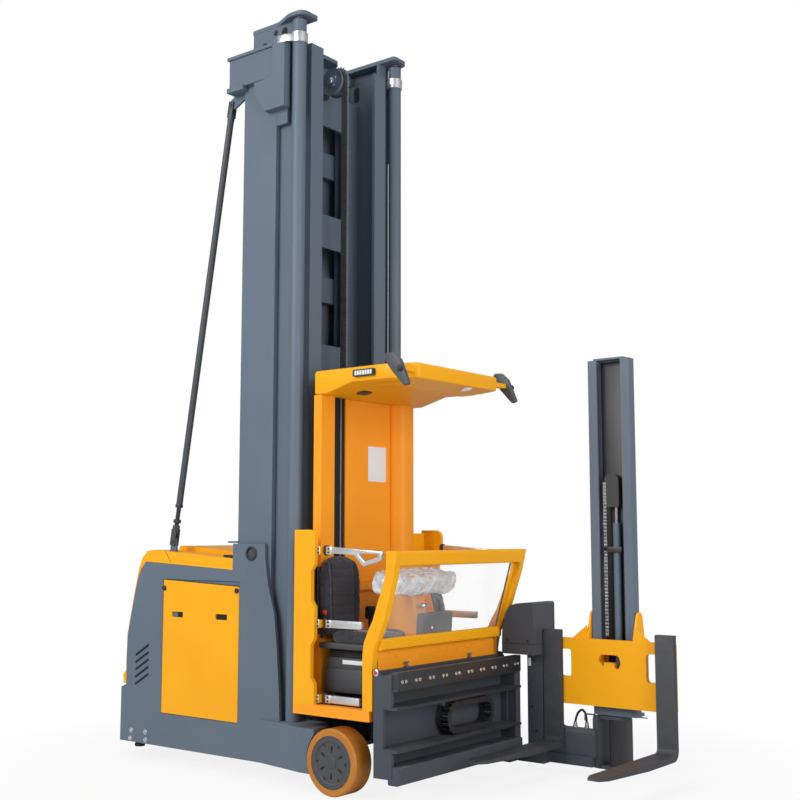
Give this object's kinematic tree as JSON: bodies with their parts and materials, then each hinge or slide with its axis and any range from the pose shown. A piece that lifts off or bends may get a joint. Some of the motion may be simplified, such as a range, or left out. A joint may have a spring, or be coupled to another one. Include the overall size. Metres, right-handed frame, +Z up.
{
  "type": "order picker truck",
  "caption": "Man-up narrow-aisle order picker truck with a rising cab, a traversing swivel fork head with its own short mast, tie rods and a battery tail",
  "frame": {"origin": "middle of the footprint on the floor", "axes": "+X towards the fork head's end, +Y to the truck's left, +Z up"},
  "size_m": [3.485, 1.684, 4.8547],
  "materials": {
    "yellow_paint": "painted",
    "slate_paint": "painted",
    "black_steel": "painted",
    "fork_steel": "forged and blacked",
    "aluminium": "satin",
    "amber_tyre": "cast polyurethane",
    "black_plastic": "moulded",
    "grey_plastic": "moulded",
    "seat_cloth": "woven",
    "clear_sheet": "clear",
    "battery_case": "painted"
  },
  "bodies": {
    "chassis": {"chassis_frame": "slate_paint", "hood": "yellow_paint", "battery": "battery_case", "battery_panel_left": "yellow_paint", "battery_panel_right": "yellow_paint", "mast_outer": "slate_paint", "tie_rod_left": "slate_paint", "tie_rod_right": "slate_paint", "lift_cylinder_left": "slate_paint", "lift_cylinder_right": "slate_paint"},
    "lid": {"hood_lid": "yellow_paint"},
    "steering": {"drive_yoke": "black_steel"},
    "drive": {"drive_wheel": "amber_tyre"},
    "load_left": {"load_tyre_left": "amber_tyre", "load_hub_left": "grey_plastic"},
    "load_right": {"load_tyre_right": "amber_tyre", "load_hub_right": "grey_plastic"},
    "middle": {"mast_middle": "slate_paint"},
    "inner": {"mast_inner": "slate_paint", "lift_chain": "black_steel"},
    "cab": {"cab_back": "yellow_paint", "cab_floor": "yellow_paint", "cab_roof": "yellow_paint", "cab_side_left": "yellow_paint", "cab_side_right": "yellow_paint", "front_guard": "yellow_paint", "guard_pane": "clear_sheet", "seat_base": "grey_plastic", "seat_cushion": "seat_cloth", "seat_back": "seat_cloth", "console": "yellow_paint", "foot_housing": "grey_plastic", "roof_lamp": "black_plastic", "traverse_frame": "slate_paint", "energy_chain": "black_plastic"},
    "gate_left_body": {"gate_left": "aluminium"},
    "gate_right_body": {"gate_right": "aluminium"},
    "turret": {"turret_carriage": "slate_paint"},
    "head": {"swivel_column": "black_steel", "head_mast": "slate_paint", "head_cylinder": "slate_paint"},
    "ram": {"head_rod": "black_steel"},
    "forks": {"fork_carriage": "yellow_paint", "fork_front": "fork_steel", "fork_rear": "fork_steel"}
  },
  "joints": [
    {"name": "lid_hinge", "type": "hinge", "parent": "chassis", "child": "lid", "pos_m": [-1.4075, -0.113, 1.384], "axis": [0, -1, 0], "range_deg": [0, 70]},
    {"name": "steer", "type": "hinge", "parent": "chassis", "child": "steering", "pos_m": [-1.4525, -0.113, 0.48], "axis": [0, 0, 1], "range_deg": [-90, 90]},
    {"name": "drive_spin", "type": "hinge", "parent": "steering", "child": "drive", "pos_m": [-1.4525, -0.113, 0.19], "axis": [0, 1, 0], "continuous": true},
    {"name": "load_spin_left", "type": "hinge", "parent": "chassis", "child": "load_left", "pos_m": [0.2525, 0.477, 0.19], "axis": [0, 1, 0], "continuous": true},
    {"name": "load_spin_right", "type": "hinge", "parent": "chassis", "child": "load_right", "pos_m": [0.2525, -0.703, 0.19], "axis": [0, 1, 0], "continuous": true},
    {"name": "mast_lift_middle", "type": "slide", "parent": "chassis", "child": "middle", "axis": [0, 0, 1], "range_m": [0, 3.8]},
    {"name": "mast_lift_inner", "type": "slide", "parent": "middle", "child": "inner", "axis": [0, 0, 1], "range_m": [0, 3.8]},
    {"name": "cab_lift", "type": "slide", "parent": "inner", "child": "cab", "axis": [0, 0, 1], "range_m": [0, 2.9]},
    {"name": "gate_swing_left", "type": "hinge", "parent": "cab", "child": "gate_left_body", "pos_m": [0.1425, 0.475, 1], "axis": [0, 0, -1], "range_deg": [0, 85]},
    {"name": "gate_swing_right", "type": "hinge", "parent": "cab", "child": "gate_right_body", "pos_m": [0.1425, -0.701, 1], "axis": [0, 0, 1], "range_deg": [0, 85]},
    {"name": "turret_traverse", "type": "slide", "parent": "cab", "child": "turret", "axis": [0, -1, 0], "range_m": [0, 1.235]},
    {"name": "head_swivel", "type": "hinge", "parent": "turret", "child": "head", "pos_m": [1.2975, 0.762, 0.2], "axis": [0, 0, 1], "range_deg": [0, 180]},
    {"name": "head_ram", "type": "slide", "parent": "head", "child": "ram", "axis": [0, 0, 1], "range_m": [0, 0.72]},
    {"name": "fork_lift", "type": "slide", "parent": "head", "child": "forks", "axis": [0, 0, 1], "range_m": [0, 1.44]}
  ],
  "couplings": [
    {"joint": "mast_lift_inner", "follows": "mast_lift_middle", "ratio": 1},
    {"joint": "head_ram", "follows": "fork_lift", "ratio": 0.5}
  ]
}
